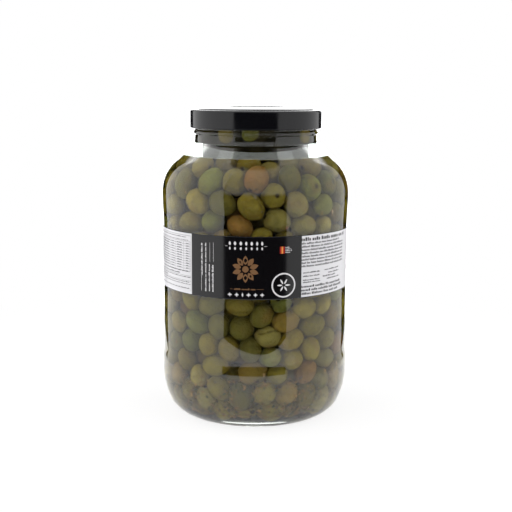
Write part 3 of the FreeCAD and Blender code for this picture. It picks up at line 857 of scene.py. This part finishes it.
def words(start, stop, base, tall, wide, upright=False):
    """A row of print as small blocks in groups: from start to stop along the paper, or up it."""
    made, at, left_in_word = [], start, rng.integers(3, 10)
    while at + wide < stop:
        width, height = wide * rng.uniform(0.65, 1.1), tall * rng.choice([0.68, 0.74, 1.0])
        if upright:
            made.append(block(base - height, base, at, at + width))
        else:
            made.append(block(at, at + width, base, base + height))
        left_in_word -= 1
        at += width + wide * (0.3 if left_in_word else 1.0)
        left_in_word = left_in_word or rng.integers(3, 10)
    return np.concatenate(made)


def leaf(centre, turn, start, stop, width):
    """A pointed leaf as a row of quads: half its width is width times the sine of the way along it."""
    t = np.linspace(0, 1, 9)
    half = width * np.sin(math.pi * t) ** 0.8 * (1 - 0.25 * t) + 0.02
    along = start + (stop - start) * t
    way, side = np.array([math.cos(turn), math.sin(turn)]), np.array([-math.sin(turn), math.cos(turn)])
    right = np.array(centre) + along[:, None] * way - half[:, None] * side
    left = np.array(centre) + along[:, None] * way + half[:, None] * side
    return np.stack([right[:-1], right[1:], left[1:], left[:-1]], 1)


def ring(centre, inner, outer, parts=56):
    """A flat ring as quads, between two radii about a centre."""
    a = np.linspace(0, 2 * math.pi, parts + 1)
    way = np.stack([np.cos(a), np.sin(a)], 1)
    near, far = np.array(centre) + inner * way, np.array(centre) + outer * way
    return np.stack([near[:-1], far[:-1], far[1:], near[1:]], 1)


def printed(name, quads, shade, rough=0.3):
    """One ink: quads with four corners each, in mm along and up the paper, laid just over its face."""
    spots = np.concatenate(quads).reshape(-1, 2)
    points = paper_point(np.degrees(spots[:, 0] / label_face), spots[:, 1], INK_LIFT)
    made = piece(name, points, np.arange(len(points)).reshape(-1, 4).tolist(), smooth=False)
    made.data.materials.append(ink(name, shade, rough))
    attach(made, "root")


blocks = [
    (-21.6, -18.6), (-17.6, -14.2), (-13.0, -9.4), (-8.4, -5.4), (-4.3, -0.9), (0.2, 3.2), (4.2, 7.1),
]
white_print = [leaf(((a + b) / 2, 43.5), math.pi / 2, 0.0, 3.3, 0.34 * (b - a)) for a, b in blocks]
white_print += [leaf(((a + b) / 2, 42.3), -math.pi / 2, 0.0, 2.5, 0.26 * (b - a)) for a, b in blocks]
white_print += [block(-24.0, -21.9, 42.8, 43.05), block(7.4, 9.6, 42.8, 43.05)]
title = [(-21.9, -18.2), (-16.2, -12.6), (-10.6, -8.9), (-6.8, -3.0), (-1.0, 2.2), (4.2, 7.7)]
for a, b in title:
    white_print += [leaf((a, 3.9), 0.0, 0.0, b - a, 0.75)]
    white_print += [leaf(((a + b) / 2, 2.1), math.pi / 2, 0.0, 3.6, 0.5)]
beside_square = ((28.0, 41.5), (29.6, 40.1), (30.6, 38.8), (29.0, 37.4))
white_print += [words(24.4, stop, low, 0.8, 0.6) for stop, low in beside_square]
white_print += [ring((23.3, 11.4), 8.8, 10.0)]
white_print += [leaf((23.3, 11.4), math.pi * k / 3, 1.0, 5.6, 0.75) for k in range(6)]
white_print += [
    words(17.9, 44.9, -44.2, 1.3, 1.0, True), block(-45.3, -45.05, 5.0, 17.4),
    words(4.8, 44.7, -40.6, 1.1, 0.8, True), block(-37.4, -37.2, 28.8, 44.6),
    words(5.2, 27.4, -37.3, 1.1, 0.8, True), block(-34.2, -34.0, 29.2, 44.8),
    words(4.9, 28.2, -34.0, 1.4, 0.9, True),
]
printed("print_white", white_print, colour(206, 204, 206))
bronze = [leaf((-7.5, 24.6), math.pi * (k + 0.5) / 5, 3.6, 10.8, 2.3) for k in range(10)]
bronze += [ring((-7.5, 24.6), 0.0, 2.6, 24)]
bronze += [words(-16.6, 1.0, 7.8, 1.4, 1.1)]
bronze += [block(-20.0, -17.4, 8.3, 8.55), block(1.6, 7.2, 8.3, 8.55)]
printed("print_bronze", bronze, colour(112, 80, 50), 0.35)
printed("print_red", [block(19.9, 21.2, 36.9, 42.5), block(22.5, 23.8, 36.9, 42.5)], colour(150, 24, 18))
printed("print_ochre", [block(21.2, 22.5, 36.9, 42.5)], colour(214, 140, 60))

small_print = [words(37.6, 92.0 if k else 84.0, 43.2 - 2.63 * k, 1.65, 0.95) for k in range(8)]
small_print += [words(40.2, 58.0, low, 1.2, 0.8) for low in (19.6, 16.7, 13.6, 11.8)]
indented = ((63.0, 20.0), (68.0, 17.2), (66.0, 12.4))
small_print += [words(left, 84.0, low, 1.2, 0.8) for left, low in indented]
small_print += [words(-113.0, -56.8, low, 0.8, 0.7) for low in (13.6, 9.6, 7.9, 4.3)]
small_print += [words(-118.0, -62.0, 46.3, 0.8, 0.7), words(-116.0, -58.5, 43.9, 0.7, 0.7)]
for k in range(11):
    row = 41.3 - 2.02 * k
    small_print += [words(-112.0, -86.5, row, 0.8, 0.6), words(-83.5, -78.0, row, 0.8, 0.6)]
    small_print += [words(-74.0, -67.0, row, 0.8, 0.6), words(-62.0, -58.5, row, 0.8, 0.6)]
printed("print_small", small_print, colour(44, 43, 46))
bold_print = [words(38.0, 94.0, 45.9, 2.9, 1.7)]
bold_print += [words(38.0, stop, low, 1.9, 1.3) for stop, low in ((88.0, 8.0), (90.0, 5.1), (82.0, 2.2))]
bold_print += [words(61.0, 78.0, 14.8, 1.3, 0.9)]
bold_print += [words(21.0, 44.0, -101.5, 1.3, 1.2, True), words(-112.0, -57.6, 18.3, 1.1, 0.8)]
bold_print += [words(-112.0, -70.0, 16.0, 1.1, 0.8), words(-112.0, -92.0, 11.7, 1.1, 0.8)]
printed("print_bold", bold_print, colour(16, 15, 18))
rules = [block(-115.0, -57.2, low, low + 0.22) for low in 43.1 - 2.02 * np.arange(13)]
rules += [block(-118.0, -56.2, low, low + 0.22) for low in (15.0, 10.9)]
rules += [block(left, left + 0.25, 18.9, 43.3) for left in (-115.0, -85.2, -76.3, -65.0, -57.4)]
rules += [block(-56.4, -56.15, 2.2, 48.0), block(-118.0, -56.2, 48.0, 48.25)]
printed("print_rules", rules, colour(92, 90, 94))
